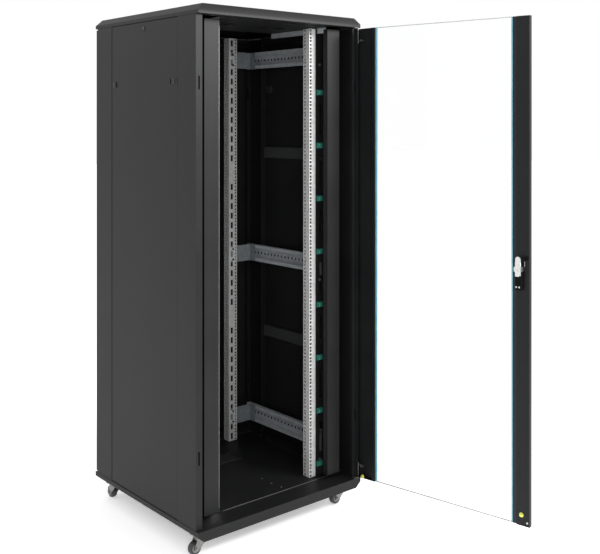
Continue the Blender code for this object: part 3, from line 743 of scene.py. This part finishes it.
def door_lock():
    """Swing handle lock: its plate and clamp bar, a moulded cover, cam, cam plate, handle and key."""
    low, high = in_door("front_lock_body")
    cam_low, cam_high = in_door("front_lock_cam")
    x = (low.x + high.x) / 2
    inside = in_door("front_door_latch_stile")[1].y
    body = copy_of("front_lock_body")
    part_off = block(
        (x - 0.040, inside + 0.0001, LOCK_Z - 0.080), (x + 0.040, high.y + 0.01, LOCK_Z + 0.0300), 0
    )
    cut(body, [hang(part_off)])
    bar = block((x - COVER_REACH, inside - 0.0010, LOCK_Z - 0.0030), (x + 0.0165, high.y, LOCK_Z + 0.0140), 0)
    body = rounded(joined([body, hang(bar)]), 0.0007, 2)
    stand_for(body, "front_lock_body", "front_lock_case")
    cover = block(
        (x - COVER_REACH, inside + 0.0004, LOCK_Z - 0.0700),
        (x + 0.0110, high.y - 0.0004, LOCK_Z - 0.0050),
        0.0020,
        3,
    )
    give(hang(cover), "front_lock_cover", soft_black, "front_door")
    heads = []
    for at in (-0.0060, 0.0060):
        heads.append(screw((x + at, high.y - 0.0006, LOCK_Z - 0.059), (0, 1, 0), 0.0034, 0.0020))
    give(hang(joined(heads)), "front_lock_screws", "die_cast", "front_door")
    plug = stub((x - 0.028, inside - 0.0005, LOCK_Z + 0.047), (0, 1, 0), 0.0085, 0.0023, 0.0010, 28)
    give(hang(plug), "stile_plug", soft_black, "front_door")
    stop = block(
        (x - 0.0220, inside + 0.0002, LOCK_Z + 0.016),
        (x - 0.0185, inside + 0.0020, LOCK_Z + 0.034),
        0.0006,
        2,
    )
    give(hang(stop), "cam_stop", "die_cast", "front_door")

    arm = block(
        (x - 0.0080, cam_high.y - 0.0040, LOCK_Z - 0.0200), (x + 0.0080, cam_high.y, LOCK_Z + 0.0300), 0
    )
    weld(arm, stub((x, cam_high.y - 0.0040, LOCK_Z + 0.0300), (0, 1, 0), 0.0080, 0.0040, 0, 32))
    weld(arm, stub((x, cam_high.y - 0.0050, LOCK_Z), (0, 1, 0), 0.0078, 0.0075, 0, 32))
    spindle = stub((x, cam_low.y, LOCK_Z), (0, 1, 0), 0.0058, cam_high.y - 0.0010 - cam_low.y, 0, 32)
    weld(arm, spindle)
    rounded(arm, 0.0007, 2)
    stand_for(hang(arm), "front_lock_cam", "front_lock_cam_plated")
    face_y = cam_high.y + 0.0004
    cap_x = x - 0.0050
    cap = block(
        (cap_x - 0.0105, face_y, LOCK_Z - 0.0160), (cap_x + 0.0105, face_y + 0.0024, LOCK_Z + 0.0440), 0
    )
    weld(cap, stub((cap_x, face_y, LOCK_Z + 0.0430), (0, 1, 0), 0.0105, 0.0024, 0, 40))
    cap = rounded(cap, 0.0007, 2)
    head = hex_bolt((x, face_y + 0.0022, LOCK_Z), (0, 1, 0), 0.0080, 0.0030)
    give(hang(joined([cap, head])), "front_lock_cam_cap", "die_cast", body_of["front_lock_cam"])

    grip = copy_of("front_handle")
    stand_for(rounded(grip, 0.0014, 3), "front_handle", "front_swing_handle")
    key_low, key_high = in_door("front_key_cylinder")
    key = copy_of("front_key_cylinder")
    middle = (key_low + key_high) / 2
    keyway = block(
        (middle.x - 0.0007, key_low.y - 0.002, middle.z - 0.0042),
        (middle.x + 0.0007, key_low.y + 0.0025, middle.z + 0.0042),
        0,
    )
    cut(key, [hang(keyway)])
    stand_for(rounded(key, 0.0004, 2), "front_key_cylinder", "front_key_barrel")


def hinge_parts():
    """Spring pins with rounded levers, and the plates they enter."""
    for end, z, way in (("upper", ROOF_Z, -1), ("lower", FLOOR_Z, 1)):
        eased("hinge_pin_" + end, 0.0005, "_plated")
        near, far = sorted((z + way * 0.0002, z + way * 0.0020))
        plate = block(
            (PIVOT.x - 0.024, PIVOT.y - 0.006, near), (PIVOT.x + 0.0065, PIVOT.y + 0.010, far), 0.0004, 1
        )
        cut(plate, [stub((PIVOT.x, PIVOT.y, z - 0.01), (0, 0, 1), 0.0038, 0.02, 0, 24)])
        give(plate, "hinge_plate_" + end, "castor_steel", "cabinet")


# ---- rear door and castors ----
def rear_door():
    """The rear door's folded skin and its turn lock."""
    for node in ("rear_door_panel", "rear_door_lock"):
        eased(node, 0.0005, "_finished")


def castors():
    """Forks with axle nuts, ring plates with bolts, and wheels with a moulded tread and hub."""
    for where, _, _ in CORNERS:
        fork_node, wheel_node = "castor_fork_" + where, "castor_wheel_" + where
        eased(fork_node, 0.0008, "_pressed")
        swivel = Vector(joint["castor_swivel_" + where]["pos_m"])
        axle = Vector(joint["castor_roll_" + where]["pos_m"])
        along = Vector(joint["castor_roll_" + where]["axis"])
        eased(wheel_node, 0.0008, "_tyre", 2, 25)
        hubs = []
        for way in (-1, 1):
            disc = stub(axle + along * way * 0.0098, along * way, 0.0155, 0.0016, 0.0006, 32)
            cut(disc, [stub(axle, along * way, 0.0044, 0.03, 0, 24)])
            hubs.append(disc)
        hub = joined(hubs)
        give(hub, "castor_hub_" + where, "castor_steel", body_of[wheel_node])
        nuts = [hex_bolt(axle + along * way * 0.0164, along * way, 0.0100, 0.0045) for way in (-1, 1)]
        give(joined(nuts), "castor_axle_nuts_" + where, "castor_steel", body_of[fork_node])
        top = base_low.z - 0.0003
        plate = block(
            (swivel.x - 0.029, swivel.y - 0.029, top - 0.0025),
            (swivel.x + 0.029, swivel.y + 0.029, top),
            0.0006,
            2,
        )
        cut(plate, [stub((swivel.x, swivel.y, top - 0.02), (0, 0, 1), 0.0116, 0.04, 0, 32)])
        bolts = []
        for bx in (-1, 1):
            for by in (-1, 1):
                at = (swivel.x + bx * 0.022, swivel.y + by * 0.022, top - 0.0024)
                bolts.append(hex_bolt(at, (0, 0, -1), 0.0080, 0.0040))
        give(joined([plate] + bolts), "castor_plate_" + where, "castor_steel", "cabinet")


studio()
plain_sheets()
hidden_members()
fan_tray()
brush_pair("roof_brush", 0.200, 0.280, top_high.z - 0.0034, 0.149)
brush_pair("floor_brush", 0.100, 0.200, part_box("floor_panel")[1].z - 0.0010, 0.149)
side_panels()
rails()
beams()
cable_strips()
floor_details()
glazing()
door_stiles()
door_lock()
hinge_parts()
rear_door()
castors()
for node, cad in frame["nodes"].items():
    if not cad.hide_render:
        cad.data.materials.clear()
        cad.data.materials.append(finishes[slot_of[node]])
